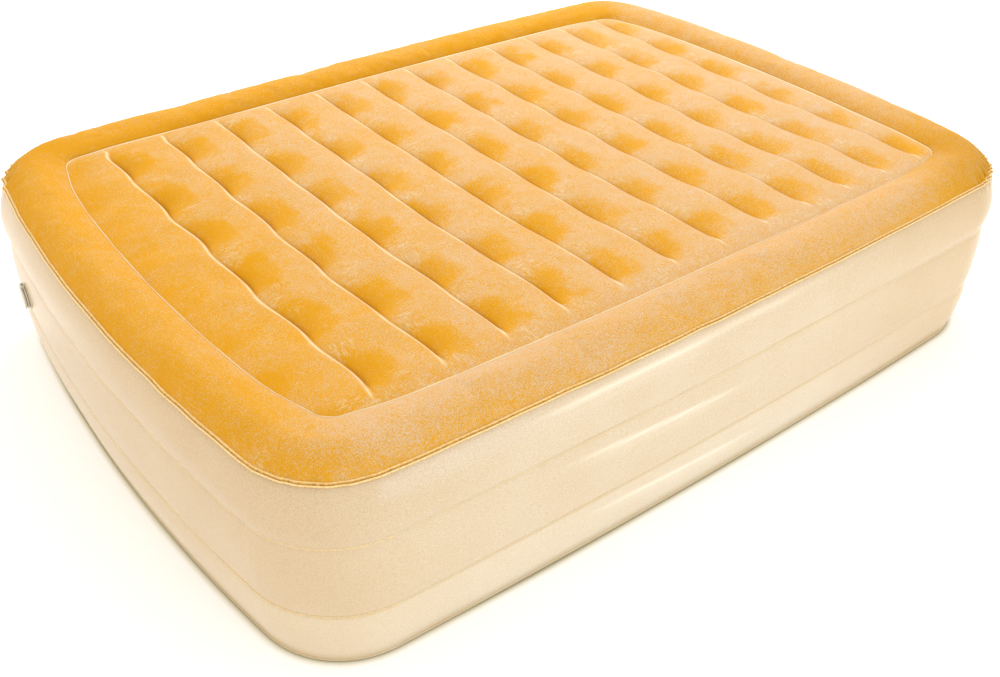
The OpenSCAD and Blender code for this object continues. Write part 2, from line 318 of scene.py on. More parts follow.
def scaled(tree, value, gain, offset=0.0, clamp=False):
    """value * gain + offset."""
    made = node(tree, "ShaderNodeMath", operation="MULTIPLY_ADD")
    tree.links.new(value, made.inputs[0])
    made.inputs[1].default_value = gain
    made.inputs[2].default_value = offset
    made.use_clamp = clamp
    return made.outputs[0]


def strokes(tree, scale, stretch, turn, sharp):
    """Thin bright brush marks: the ridge where a stretched noise crosses its middle value."""
    value = texture(tree, scale, rough=0.55, stretch=stretch, turn=turn)
    ridge = math_node(tree, "ABSOLUTE", scaled(tree, value, 1.0, -0.5))
    return scaled(tree, ridge, -sharp, 1.0, clamp=True)


def flock_material():
    mat, tree, shader = new_material("flock_velour", Roughness=0.9, Sheen_Weight=0.08, Sheen_Roughness=0.35)
    shader.inputs["Specular IOR Level"].default_value = 0.04
    shader.inputs["Sheen Tint"].default_value = (1.0, 0.80, 0.58, 1)
    grain = texture(tree, 520, detail=1, rough=0.8)
    cloud = texture(tree, 26, detail=5, rough=0.7)
    # painted sheen and shade: 0 shows the flock's deep colour and 1 its palest painted sheen; the cloud and
    # grain add tone that differs at random
    sheen_shade_tone = add(tree, attribute(tree, "sheen_and_shade"), scaled(tree, cloud, 0.8, -0.40), scaled(tree, grain, 3.6, -1.8))
    colour = ramp(tree, sheen_shade_tone, [(0.0, FLOCK_DEEP), (0.35, FLOCK_WARM), (0.75, FLOCK_PEACH_SHEEN), (1.0, FLOCK_PALE_SHEEN)])
    # brush marks in the pile, whose pale colour is a painted sheen, along and across the channels, each in
    # its own scattered tufts and where "crinkle" is high
    along = strokes(tree, 190, stretch=(1, 0.13, 1), turn=0.22, sharp=20)
    across = strokes(tree, 130, stretch=(0.20, 1, 1), turn=-0.35, sharp=24)
    gate = scaled(tree, texture(tree, 21), 9.0, -4.7, clamp=True)
    gate_across = scaled(tree, texture(tree, 15, turn=1.0), 9.0, -4.8, clamp=True)
    along = math_node(tree, "MULTIPLY", along, gate)
    across = math_node(tree, "MULTIPLY", across, gate_across)
    marks = math_node(tree, "MAXIMUM", along, across)
    marks = math_node(tree, "MULTIPLY", marks, attribute(tree, "crinkle"))
    colour = mix(tree, scaled(tree, marks, 0.80, clamp=True), colour, FLOCK_STROKE_SHEEN)
    # painted shade in the creases, folds and two corners, and darker soft patches towards -X
    colour = mix(tree, attribute(tree, "shade"), colour, FLOCK_SHADE)
    # a painted highlight: pale lines along each groove's lip and beside the far inner welds, where the pile
    # catches the light
    colour = mix(tree, attribute(tree, "weld"), colour, FLOCK_RIM_SHEEN)
    tree.links.new(colour, shader.inputs["Base Color"])
    bump(tree, shader, add(tree, scaled(tree, grain, 0.6), marks), distance=0.0012, strength=0.5)
    return mat


def vinyl_material(name, colour, rough):
    """Soft vinyl sheet with a fine grain and slow clouds of colour, with painted shade and painted
    highlights.
    """
    mat, tree, shader = new_material(name, Roughness=rough)
    shader.inputs["Specular IOR Level"].default_value = 0.5
    cloud = texture(tree, 7, detail=3)
    grain = texture(tree, 430, detail=1, rough=0.8)
    deep = tuple(c * d for c, d in zip(colour, DEEP_SPOT))
    pale = tuple(min(PALEST, c * d) for c, d in zip(colour, PALE_SPOT))
    mixed = add(tree, scaled(tree, cloud, 0.35), scaled(tree, grain, 1.3, -0.325))
    fresh = ramp(tree, mixed, [(0.28, deep), (0.72, pale)])
    # painted shade makes the sheet darker and yellower towards its ends and on its upper tiers; a painted
    # highlight makes it pale along its streaks, and painted light makes some tiers paler, most at the front
    # left corner
    warm_shading = ramp(tree, attribute(tree, "tint"), [(0.0, WHITE), (1.0, SHADED_WARM)])
    darkening = node(tree, "ShaderNodeMix", data_type="RGBA", blend_type="MULTIPLY")
    darkening.inputs["Factor"].default_value = 1.0
    tree.links.new(fresh, darkening.inputs["A"])
    tree.links.new(warm_shading, darkening.inputs["B"])
    lit = mix(tree, attribute(tree, "stretch"), darkening.outputs["Result"], PAINTED_GLINT)
    tree.links.new(lit, shader.inputs["Base Color"])
    ripple = texture(tree, 34, detail=3, rough=0.55, stretch=(0.4, 1, 1))
    bump(tree, shader, add(tree, scaled(tree, grain, 0.10), ripple), distance=0.0008, strength=0.35)
    return mat


def plain_material(name, colour, rough, metallic=0.0):
    """Moulded plastic, rubber or wire with a fine mottle."""
    mat, tree, shader = new_material(name, Roughness=rough, Metallic=metallic)
    grain = texture(tree, 300)
    low = tuple(c * 0.9 for c in colour)
    tree.links.new(ramp(tree, grain, [(0.35, low), (0.65, colour)]), shader.inputs["Base Color"])
    bump(tree, shader, grain, distance=0.0002, strength=0.3)
    return mat


def piping_material():
    """The rim's lip: dark where its two sheets are pressed together and in painted shade under the lip, with
    a painted highlight along its beads.
    """
    mat, tree, shader = new_material("weld_piping", Roughness=0.5)
    value = add(tree, attribute(tree, "bead"), scaled(tree, texture(tree, 240, rough=0.7), 1.2, -0.6))
    stops = [(0.0, PIPING_CREASE), (0.45, PIPING_SIDE), (1.0, PIPING_BEAD_HIGHLIGHT)]
    tree.links.new(ramp(tree, value, stops), shader.inputs["Base Color"])
    bump(tree, shader, value, distance=0.0006, strength=0.4)
    return mat


flock = flock_material()
vinyl = vinyl_material("side_vinyl", (0.685, 0.565, 0.405), rough=0.25)
weld_vinyl = vinyl_material("weld_vinyl", (0.70, 0.525, 0.285), rough=0.34)
seam = vinyl_material("inner_seam", (0.80, 0.66, 0.42), rough=0.5)
base_vinyl = vinyl_material("base_vinyl", (0.64, 0.51, 0.32), rough=0.45)
inner_vinyl = plain_material("inner_vinyl", (0.55, 0.50, 0.40), rough=0.5)
piping = piping_material()
plastic = plain_material("valve_plastic", (0.66, 0.61, 0.50), rough=0.35)
rubber = plain_material("valve_rubber", (0.05, 0.045, 0.04), rough=0.6)
steel = plain_material("valve_steel", (0.55, 0.56, 0.58), rough=0.3, metallic=1.0)

# ---------------------------------------------------------------- sleeping surface
# height of its crowns, how much a pit draws them down, and how far from y = 0 the grooves end
PANEL_TOP, CROWN_DIP, GROOVE_END = 0.4225, 0.0035, 0.550
# the pits along each groove: their spacing and the y of one of them
PIT_STEP, PIT_Y0 = 0.18, 0.43
# depth of a groove between its pits, what a pit adds and what chance adds
BRIDGE_DEPTH, PIT_DEPTH, DEPTH_NOISE = 0.0095, 0.0112, 0.0010
# how steeply the sheet enters a groove from its -X side and from its +X side, and how blunt its bottom is
STEEP_SIDE, GENTLE_SIDE, GROOVE_BLUNT = 4.2, 2.1, 0.62
# the width over which the panel rises from the inner weld, and the shape of that rise
ROLL_WIDTH, ROLL_POWER = 0.085, 0.80
# distances from a groove at which its cells have points, in millimetres; the outermost channels go on evenly
CELL_MM = [0, 1.2, 2.6, 4.3, 6.4, 9, 12, 16, 21, 27, 34, 42, 51, 60]
OUTER_WIDTH, OUTER_STEP, Y_LIMIT, Y_STEP = 0.16, 0.0055, 0.590, 0.005
# how far the panel goes on under the bolster past the inner weld, and how steeply it falls there
HEM, HEM_FALL = 0.012, 0.8
# painted shade, deep patches beside the pits: reach in x, its growth towards -X, and span along the groove
PATCH_REACH, PATCH_GROWTH, PATCH_SPAN = 0.070, 0.016, 0.88
# the row of painted shade patches along the -X weld: spacing, the y of one of them, reach and span
END_STEP, END_Y0, END_REACH, END_SPAN = 0.15, -0.41, 0.070, 0.80
# the painted highlight, a pale line on each groove's -X lip: its place, its width at the -X end and what it
# gains by the +X end
LINE_AT, LINE_WIDTH, LINE_GROWTH = -0.0066, 0.0025, 0.0005


def groove_depth(g, y):
    """Depth of groove g below the crowns, and how much of a pit it is at each y."""
    phase = 2 * math.pi * (y - PIT_Y0) / PIT_STEP
    pit = 0.5 + 0.5 * np.cos(phase + 0.5 * noise(g * 3.1, y / 0.25, 12))
    depth = BRIDGE_DEPTH + PIT_DEPTH * pit**1.2 + DEPTH_NOISE * noise(g * 7.3, y / 0.07, 13)
    ends = 1 - smooth(GROOVE_END - 0.060, GROOVE_END + 0.004, np.abs(y))
    return depth * ends, pit


def lean(x, y):
    """How far the whole channel pattern is drawn to +X: most in the middle and towards the -Y side."""
    return 0.010 + 0.017 * (1 - (x / 0.72) ** 2) + 0.014 * smooth(0.15, 0.45, -y)


def groove_sway(g, y, pit):
    """How far groove g winds off its line: to +X at each pit, with a hook at the first grooves' +Y ends."""
    bow = (0.0135 - 0.0006 * g) * (pit - 0.4)
    hook = 0.014 * hill(g, 1.3) * hill(y - GROOVE_END + 0.025, 0.022)
    return bow + 0.002 * noise(y / 0.11 + 40, g * 5.7, 11) + hook


def panel_roll(d):
    """How much of its height the panel has gained at distance d inside the inner weld."""
    w = np.clip(d / ROLL_WIDTH, 0, 1)
    return (1 - (1 - w) ** 2) ** ROLL_POWER


def far_lip(x, y):
    """1 along the +X and +Y sides of the panel, 0 along the other two."""
    return smooth(-0.1, 0.5, x / 0.86 + y / 0.58)


def panel_edge(x, y):
    """Height of the panel's edge at the inner weld, which lies deeper along the +X and +Y sides."""
    return INNER_Z - 0.001 + WELD_LIFT * (1 - far_lip(x, y))


def channel_grid():
    """Each column of the sleeping surface: its distance from its groove, and that groove's number."""
    side = np.array(CELL_MM) / 1000
    cell = np.concatenate([-side[:0:-1], side])
    outer = np.arange(PITCH / 2, OUTER_WIDTH, OUTER_STEP)
    xi, groove = [], []
    for g in range(GROOVES):
        part = cell
        if g == 0:
            part = np.concatenate([-outer[::-1], part])
        if g == GROOVES - 1:
            part = np.concatenate([part, outer])
        xi.append(part)
        groove.append(np.full(len(part), g))
    return np.concatenate(xi)[:, None], np.concatenate(groove)[:, None]


def panel_looks(x, y, xi, groove, t, pit, to_weld):
    """The sleeping surface's colour layers, mostly painted sheen and shade; t is 0 in a groove and 1 between
    two.
    """
    inside = 1 - smooth(GROOVE_END - 0.03, GROOVE_END + 0.01, np.abs(y))
    # painted shade: each pit is a soft patch of deep colour that starts at the groove and fades to +X, with a
    # little more on the -X side of the pit
    blot = 0.30 * noise(x / 0.030, y / 0.030, 15) + 0.12 * noise(x / 0.011, y / 0.011, 16)
    reach = PATCH_REACH + PATCH_GROWTH * smooth(0.0, 0.7, -x)
    far = np.sqrt((np.maximum(xi, 0) / reach) ** 2 + ((1 - pit) / PATCH_SPAN) ** 2) + blot
    pit_shade = smooth(-0.002, 0.004, xi) * (1 - smooth(0.30, 1.20, far)) * inside
    far_side = smooth(0.45, 1.0, 1 - t) * (xi < 0) * 0.08 * pit
    # painted shade: the -X end's channel has its own row of patches, along the inner weld
    row = 0.5 + 0.5 * np.cos(2 * math.pi * (y - END_Y0) / END_STEP + 0.6 * noise(y / 0.2, 0 * y, 19))
    far = np.sqrt((np.maximum(to_weld, 0) / END_REACH) ** 2 + ((1 - row) / END_SPAN) ** 2) + blot
    end_shade = (1 - smooth(0.30, 1.25, far)) * smooth(0.66, 0.80, -x) * (0.45 + 0.55 * smooth(0.1, 0.4, -y))
    # painted sheen and shade: deeper towards -X and at the +X, -Y corner, paler towards +X
    sheen_and_shade = 0.66 + 0.19 * x / 0.9 - 0.32 * smooth(0.35, 0.95, -x) - 0.56 * pit_shade - far_side - 0.45 * end_shade
    sheen_and_shade = sheen_and_shade - 0.42 * hill(x - 0.82, 0.12) * hill(y + 0.55, 0.12) + 0.10 * noise(x / 0.09, y / 0.09, 17)
    # painted highlights: a pale line on the lip of each groove, and a ring beside the far inner welds
    line = hill(xi - LINE_AT, LINE_WIDTH + LINE_GROWTH * (x + 0.9) / 1.8)
    line = line * (1 - smooth(GROOVE_END - 0.03, GROOVE_END, np.abs(y)))
    line = line * (0.84 + 0.12 * smooth(-0.4, 0.6, x) + 0.20 * noise(x * 0 + groove * 9.7, y / 0.02, 18))
    ring = 0.5 * far_lip(x, y) * hill(to_weld - 0.011, 0.006)
    # painted shade makes the crease itself a little dark and deepens the patches towards -X; there the flock
    # is also darker in soft patches
    darkening = np.clip(0.3 + noise(x / 0.045, y / 0.045, 20), 0, 1)
    shade = hill(xi - 0.0022, 0.0022) * (0.03 + 0.16 * pit) * inside
    shade = shade + smooth(0.1, 0.8, -x) * (0.05 * pit_shade + 0.06 * darkening)
    # brush marks, painted pale as sheen, gather between the pits and at the grooves' ends
    crease = (1 - pit) * hill(xi - 0.02, 0.035) + 0.9 * hill(0.545 - np.abs(y), 0.035)
    return {"sheen_and_shade": sheen_and_shade, "weld": np.maximum(line, ring), "crinkle": np.clip(crease, 0.20, 1), "shade": shade}


def build_panel():
    """The sleeping surface: crowned channels with a pitted groove between each two."""
    xi, groove = channel_grid()
    y = np.arange(-Y_LIMIT, Y_LIMIT + 0.0001, Y_STEP)[None, :]
    t = np.clip(np.abs(xi) / (PITCH / 2), 0, 1)
    depth, pit = groove_depth(groove, y)
    x = (groove - (GROOVES - 1) / 2) * PITCH + xi
    x = x + lean(x, y) + groove_sway(groove, y, pit) * (1 - t * t * (3 - 2 * t))
    y = y + 0 * x
    # the sheet drops steeply into a groove from the -X side and climbs out gently on the +X side
    profile = 1 - (1 - (1 - t) ** np.where(xi < 0, STEEP_SIDE, GENTLE_SIDE)) ** GROOVE_BLUNT
    crown = PANEL_TOP - CROWN_DIP * pit * (1 - 0.4 * t) + 0.0014 * noise(x / 0.10, y / 0.10, 14)
    z = crown - depth * profile
    u, inner = offset_of(x, y), inner_weld(x, y)
    low = panel_edge(x, y)
    z = low + (z - low) * panel_roll(-u - inner)
    z = np.where(u > -inner, low - (u + inner) * HEM_FALL, z)
    # only the part inside the hem is kept
    keep = u < -inner + HEM
    index = np.arange(x.size).reshape(x.shape)
    quads = np.stack([index[:-1, :-1], index[1:, :-1], index[1:, 1:], index[:-1, 1:]], -1)
    quads = quads[keep[:-1, :-1] & keep[1:, :-1] & keep[1:, 1:] & keep[:-1, 1:]]
    used = np.unique(quads)
    renumber = np.zeros(x.size, int)
    renumber[used] = np.arange(len(used))
    points = np.stack([x, y, z], -1).reshape(-1, 3)[used]
    obj = mesh_object("sleeping_surface_flock", points, renumber[quads], flock)
    looks = panel_looks(x, y, xi, groove, t, pit, -u - inner)
    paint(obj, **{name: values.reshape(-1)[used] for name, values in looks.items()})
    return obj


# ---------------------------------------------------------------- inner weld and bolster
# rise of the bolster's arc over its chord, its rows of points, and how its inner part follows the weld
BOLSTER_SWELL, BOLSTER_ROWS, FOLLOW = 0.031, 40, 1.5
# the inner weld's line: its width, less along -X and along -Y towards +X, more along the far sides, where the
# pale strip is partly a painted highlight on the panel's edge
SEAM_WIDTH, SEAM_LESS_END, SEAM_LESS_SIDE, SEAM_MORE_FAR = 0.0030, 0.0012, 0.0018, 0.0065
# its section: share of the width, and height over the panel
SEAM_SECTION = [
    (-0.20, -0.0012), (0.0, 0.0012), (0.35, 0.0019), (0.75, 0.0016), (1.0, 0.0006), (1.15, -0.0012),
]
# depth, reach along the seam and spacing of the gathers at each corner
GATHERS = [(0.0016, 0.10, 0.030), (0.0050, 0.11, 0.030), (0.0012, 0.12, 0.039), (0.0040, 0.12, 0.022)]


def arc_height(p, q, swell):
    """Centre and radius of the arc from p to q with that swell, bulging away from the bed's middle."""
    p, q = np.array(p), np.array(q)
    chord = np.linalg.norm(q - p)
    r = (chord * chord / 4 + swell * swell) / (2 * swell)
    d = (q - p) / chord
    out = np.array([d[1], -d[0]])
    if out[0] < 0 or (abs(out[0]) < 0.2 and out[1] < 0):
        out = -out
    return (p + q) / 2 - out * (r - swell), r


def weld_offset(col):
    """The inner weld's offset from the top seam at each column. It depends on where the column ends, so it is
    settled by turns."""
    edge_u = -BOLSTER_W + 0 * col["s"]
    for _ in range(6):
        edge = place(col, edge_u, 0 * edge_u)
        edge_u = -inner_weld(edge[:, 0], edge[:, 1])
    return edge_u


def pleats(col):
    """Small gathers around the corners of the top seam, in metres."""
    total = 0
    for k, (amount, reach, pitch) in enumerate(GATHERS):
        weight = hill(col["near"][k], reach, 4)
        wander = 2.4 * noise(col["s"] / 0.03, col["s"] * 0, 31 + k)
        total = total + weight * amount * np.sin(2 * math.pi * col["s"] / pitch + wander)
    return total


def build_inner_seam(col):
    """The weld between panel and bolster: a pale strip on the panel's edge, broadest at the far sides, where
    it is partly a painted highlight.
    """
    edge_u = weld_offset(col)
    edge = place(col, edge_u, 0 * edge_u)
    x, y = edge[:, 0], edge[:, 1]
    width = SEAM_WIDTH - SEAM_LESS_END * smooth(0.6, 0.8, -x)
    width = width - SEAM_LESS_SIDE * smooth(-0.1, 0.4, x) * (y < 0)
    width = width + SEAM_MORE_FAR * far_lip(x, y) + 0.0005 * ring_noise(col, 18, 0 * edge_u, 91)
    low = panel_edge(x, y)
    rows = []
    for part, lift in SEAM_SECTION:
        d = part * width
        rows.append(place(col, edge_u - d, low + (PANEL_TOP - low) * panel_roll(d) + lift))
    return swept("inner_weld_line", np.stack(rows[::-1]), seam)


def inflate(obj, held, frames=10, pressure=3.0, slack=0.008, cap=0.0025):
    """Blow a welded sheet up as cloth held along its welds, with a little spare length, and keep the result.
    No point moves further than cap."""
    mesh = obj.data
    start = np.empty(len(mesh.vertices) * 3, np.float32)
    mesh.vertices.foreach_get("co", start)
    group = obj.vertex_groups.new(name="weld")
    group.add([int(i) for i in np.flatnonzero(held)], 1.0, "REPLACE")
    air = obj.modifiers.new("air", "CLOTH")
    cloth = air.settings
    cloth.quality = 4
    cloth.vertex_group_mass = "weld"
    cloth.use_pressure = True
    cloth.uniform_pressure_force = pressure
    cloth.shrink_min = -slack
    cloth.effector_weights.gravity = 0
    scene = bpy.context.scene
    for frame_number in range(1, frames + 1):
        scene.frame_set(frame_number)
    blown = obj.evaluated_get(bpy.context.evaluated_depsgraph_get()).to_mesh()
    end = np.empty_like(start)
    blown.vertices.foreach_get("co", end)
    move = (end - start).reshape(-1, 3)
    length = np.linalg.norm(move, axis=1, keepdims=True)
    move *= np.minimum(1, cap / np.maximum(length, 1e-9))
    obj.modifiers.remove(air)
    obj.vertex_groups.remove(group)
    scene.frame_set(1)
    mesh.vertices.foreach_set("co", start + move.ravel())
    mesh.update()


def bolster_looks(col, t):
    """The bolster's colour layers, mostly painted sheen and shade; t is 0 at the top seam and 1 at the inner
    weld.
    """
    right_corner, left_corner = col["near"][FRONT_RIGHT], col["near"][BACK_LEFT]
    along_x, along_y = np.cos(col["a"]), np.sin(col["a"])
    away = 0.62 * along_x + 0.78 * along_y
    front, back = np.clip(-away, 0, 1), np.clip(away, 0, 1)
    # painted sheen and shade: deep at the near sides' outer edge, the far sides' inner edge and two corners,
    # paler towards +X and at the near sides' inner edge
    sheen_and_shade = 0.45 + 0.31 * np.minimum(along_x, 0) + 0.24 * np.maximum(along_x, 0) - 0.25 * along_y
    sheen_and_shade = sheen_and_shade + 0.10 * ring_noise(col, 8, t * 3, 22) + 0.20 * front * hill(1 - t, 0.2)
    sheen_and_shade = sheen_and_shade - 0.36 * front * (1 - smooth(0.0, 0.62, t)) - 0.48 * back * smooth(0.45, 1.0, t)
    sheen_and_shade = sheen_and_shade - 0.66 * hill(right_corner, 0.24) - 0.20 * hill(left_corner, 0.15)
    # painted shade: darker at the same corners, in the bottoms of the gathers and down beside the far inner
    # welds
    fold = smooth(0.2, 1.0, -pleats(col) / 0.003) * hill(t, 0.20)
    corner_shade = 0.30 * hill(right_corner, 0.20) + 0.14 * hill(left_corner, 0.16)
    shade = corner_shade + 0.65 * fold + back * (0.50 * hill(1 - t, 0.030) + 0.22 * hill(1 - t, 0.16))
    corner = sum(hill(near, 0.16) for near in col["near"])
    edge = hill(t, 0.25) + 0.8 * hill(1 - t, 0.12)
    crinkle = np.clip(0.12 + 0.50 * corner * edge + 0.20 * edge, 0, 1)
    return {"sheen_and_shade": sheen_and_shade, "weld": 0 * sheen_and_shade, "shade": shade, "crinkle": crinkle}


def build_bolster(col):
    """The raised border: an arc from the top seam to the inner weld, gathered at the corners and blown up."""
    centre, r = arc_height((-BOLSTER_W, INNER_Z), (0, RIM_Z), BOLSTER_SWELL)
    start = math.atan2(RIM_Z - centre[1], 0 - centre[0])
    stop = math.atan2(INNER_Z - centre[1], -BOLSTER_W - centre[0])
    t = np.linspace(0, 1, BOLSTER_ROWS)[:, None]
    angle = start + (stop - start) * t
    edge_u = weld_offset(col)
    u = centre[0] + r * np.cos(angle) + (edge_u + BOLSTER_W) * t**FOLLOW
    weld = place(col, edge_u, 0 * edge_u)
    z = centre[1] + r * np.sin(angle) + WELD_LIFT * (1 - far_lip(weld[:, 0], weld[:, 1])) * t**FOLLOW
    pleat = pleats(col) * hill(t, 0.16)
    slow = 0.0014 * ring_noise(col, 9, t * 2.2, 21) * np.sin(math.pi * t)
    swell = pleat + slow
    points = place(col, u + swell * np.cos(angle), z + swell * np.sin(angle))
    obj = swept("bolster_flock", points, flock)
    paint(obj, **bolster_looks(col, t))
    held = ((t < 0.03) | (t > 0.97)) & np.ones(points.shape[:2], bool)
    inflate(obj, held.ravel())
    return obj


# ---------------------------------------------------------------- side wall
# how far and over what height a tier is drawn in at a weld, and the rows of points in each tier
PINCH, PINCH_REACH, BAND_ROWS = 0.0013, 0.0080, 36
# the weld strips stand this far proud of the drawn-in wall
WELD_PROUD = 0.0010
# radius of the wall's hole, a little less than the valve's flange
VALVE_HOLE = 0.0276
# a painted highlight, a pale streak: its strength, half length and half width, and the fainter, wider one
# HALO_DROP below it
STREAK, STREAK_RUN, STREAK_WIDTH = 0.60, 0.19, 0.0042
HALO, HALO_DROP, HALO_WIDTH = 0.30, 0.010, 0.014
# the weld strip's section and the lip's: distance out and height; the lip is pale with a painted highlight
# where BEAD is high, and dark, partly painted shade, where it is low
WELD_SECTION = [
    (-0.004, -0.0044), (0.0002, -0.0034), (0.0006, -0.0020), (0.0001, -0.0008),
    (0.0001, 0.0006), (0.0006, 0.0018), (0.0001, 0.0032), (-0.004, 0.0042),
]
LIP_SECTION = [
    (-0.0050, 0.0020), (-0.0020, 0.0036), (0.0004, 0.0042), (0.0020, 0.0026), (0.0030, 0.0008),
    (0.0042, 0.0014), (0.0056, 0.0012), (0.0062, -0.0006), (0.0050, -0.0022), (0.0020, -0.0030),
    (-0.0030, -0.0034),
]
BEAD = [0.0, 0.5, 0.95, 0.25, 0.0, 0.9, 1.0, 0.55, 0.2, 0.0, 0.0]
# the base sheet's hem, then the flat sheet up to the face that closes it
HEM_SECTION = [
    (0.0008, 0.0030), (0.0030, 0.0022), (0.0034, 0.0008), (0.0020, 0.0001), (-0.05, 0.0001), (-0.11, 0.0001),
]


def side_rows(p, q, swell, rows):
    """Offsets, heights and shares of height of a tier's rows, on the arc from its foot p to its top q."""
    centre, r = arc_height(p, q, swell)
    t = 0.5 - 0.5 * np.cos(np.linspace(0, math.pi, rows))
    z = p[1] + (q[1] - p[1]) * t
    u = centre[0] + np.sqrt(np.maximum(r * r - (z - centre[1]) ** 2, 0))
    return u[:, None], z[:, None], t[:, None]


def build_band(col, name, p, q, swell, seed, tint, streak, pale=0.0, rim=False):
    """One tier of the side wall from foot p to top q, drawn in along its welds. Its least painted shade,
    darker and yellower, comes after seed; pale is the painted light on its front corner, and streak gives the
    x, the height and the fall of its painted highlight."""
    u, z, t = side_rows(p, q, swell, BAND_ROWS)
    u = u - PINCH * hill(q[1] - z, PINCH_REACH) * (0.5 if rim else 1)
    on_floor = p[1] <= 0.01
    if not on_floor:
        u = u - PINCH * hill(z - p[1], 0.5 * PINCH_REACH)
    bell = np.sin(math.pi * t)
    slow = 0.0020 * ring_noise(col, 3.2, t * 1.3, seed) + 0.0009 * ring_noise(col, 9, t * 2.4, seed + 1)
    u = u + bell * slow
    if rim:
        u = u + pleats(col) * hill(1 - t, 0.12)
    z = z + 0.0012 * ring_noise(col, 6, 0 * t, seed + 2) * (1 - t)
    points = place(col, u, z)
    x = points[..., 0]
    # painted shade: darker and yellower towards both ends of the bed
    ends = smooth(0.15, 0.92, x) + 0.45 * smooth(0.5, 0.95, -x)
    # a painted highlight: a pale streak along the tier, where a glint would fall
    at_x, at_z, fall = streak
    run = hill(x - at_x, STREAK_RUN, 4) * (points[..., 1] < 0)
    off = points[..., 2] - at_z + fall * (x - at_x)
    across = hill(off, STREAK_WIDTH) + HALO * hill(off + HALO_DROP, HALO_WIDTH)
    # painted light: tiers given pale are paler, most at the front left corner
    corner = hill(col["near"][FRONT_LEFT], 0.22)
    obj = swept(name, points, vinyl)
    paint(obj, tint=tint + (1 - tint) * ends, stretch=STREAK * run * across + pale * (0.4 + 0.6 * corner))
    return obj


def cut_hole(obj, centre, axis, radius):
    """Open a round hole: the faces inside the circle go, and the edge left is drawn out to the circle."""
    sheet = bmesh.new()
    sheet.from_mesh(obj.data)
    centre, axis = Vector(centre), Vector(axis)

    def off_axis(point):
        away = point - centre
        return away - axis * away.dot(axis)

    def in_hole(v):
        return off_axis(v.co).length < radius and (v.co - centre).length < 2 * radius

    inside = {v for v in sheet.verts if in_hole(v)}
    gone = [f for f in sheet.faces if all(v in inside for v in f.verts)]
    bmesh.ops.delete(sheet, geom=gone, context="FACES")
    for v in sheet.verts:
        if in_hole(v):
            away = off_axis(v.co)
            v.co += away.normalized() * (radius - away.length)
    sheet.to_mesh(obj.data)
    sheet.free()


def build_weld(col, name, u0, z0, seed):
    """A flat double weld line standing a little proud of the crease between two bands."""
    wave = 0.0010 * ring_noise(col, 6, 0 * col["s"], seed)
    rows = [place(col, u0 + du, z0 + dz + wave) for du, dz in WELD_SECTION]
    return swept(name, np.stack(rows), weld_vinyl)


def build_rim(col):
    """The welded lip between the flocked top and the side wall: two thin beads with a crease between them."""
    lift = 0.0008 * ring_noise(col, 14, 0 * col["s"], 41)
    out = 0.0009 * ring_noise(col, 20, 0 * col["s"], 42)
    gather = pleats(col) * 0.9
    rows = [place(col, du + out + gather, RIM_Z + dz + lift + 0.5 * gather) for du, dz in LIP_SECTION]
    obj = swept("rim_weld_lip", np.stack(rows), piping)
    paint(obj, bead=np.array(BEAD)[:, None] + 0 * gather)
    return obj


def build_base(col):
    """The bottom sheet with the flat hem that it is welded by."""
    rows = np.stack([place(col, du, dz) for du, dz in HEM_SECTION])
    count, n = rows.shape[:2]
    faces = []
    for j in range(count - 1):
        for i in range(n):
            k = (i + 1) % n
            faces.append([j * n + i, (j + 1) * n + i, (j + 1) * n + k, j * n + k])
    faces.append([(count - 1) * n + i for i in range(n)])
    return mesh_object("bottom_sheet_vinyl", rows, faces, base_vinyl)


fine = perimeter(step=0.0062, corner_step=0.0030)
panel = build_panel()
bolster = build_bolster(fine)
inner_seam = build_inner_seam(fine)
rim = build_rim(fine)
FOOT, LOWER_WELD = (0.0005, 0.0015), (WELD_OUT, LOWER_Z)
UPPER_WELD, TOP_SEAM = (WELD_OUT, UPPER_Z), (0, RIM_Z)
upper = build_band(
    fine, "upper_side_vinyl", UPPER_WELD, TOP_SEAM,
    swell=0.013, seed=51, tint=0.30, streak=(-0.280, 0.369, 0.0), rim=True,
)
middle = build_band(
    fine, "middle_side_vinyl", LOWER_WELD, UPPER_WELD,
    swell=0.0048, seed=61, tint=0.30, streak=(-0.205, 0.231, 0.060), pale=0.07,
)
cut_hole(middle, valve_turn["pos_m"], valve_turn["axis"], VALVE_HOLE)
lower = build_band(
    fine, "lower_side_vinyl", FOOT, LOWER_WELD,
    swell=0.008, seed=71, tint=0.05, streak=(-0.140, 0.085, 0.045), pale=0.22,
)
upper_weld = build_weld(fine, "upper_weld_line", WELD_OUT - PINCH + WELD_PROUD, UPPER_Z, seed=81)
lower_weld = build_weld(fine, "lower_weld_line", WELD_OUT - PINCH + WELD_PROUD, LOWER_Z, seed=82)
base = build_base(perimeter(step=0.02, corner_step=0.01))

for obj, nodes, slot in [
    (panel, ["sleeping_surface"], "flock"),
    (bolster, ["bolster"], "flock"),
    (rim, ["edge_binding"], "flock"),
    (upper, ["upper_side_band"], "side_vinyl"),
    (middle, ["middle_side_band"], "side_vinyl"),
    (lower, ["lower_side_band"], "side_vinyl"),
    (inner_seam, [], "flock"),
    (upper_weld, [], "side_vinyl"),
    (lower_weld, [], "side_vinyl"),
    (base, ["bottom_sheet"], "side_vinyl"),
]:
    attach(obj, "bladder")
    if nodes:
        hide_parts(*nodes)

# ---------------------------------------------------------------- the valve stem's spring
# radii of its wire and its coil, its turns, and the points along it and round the wire
WIRE_R, COIL_R, COIL_TURNS = 0.0004, 0.0034, 4.5
COIL_STEPS, WIRE_SIDES = 160, 12


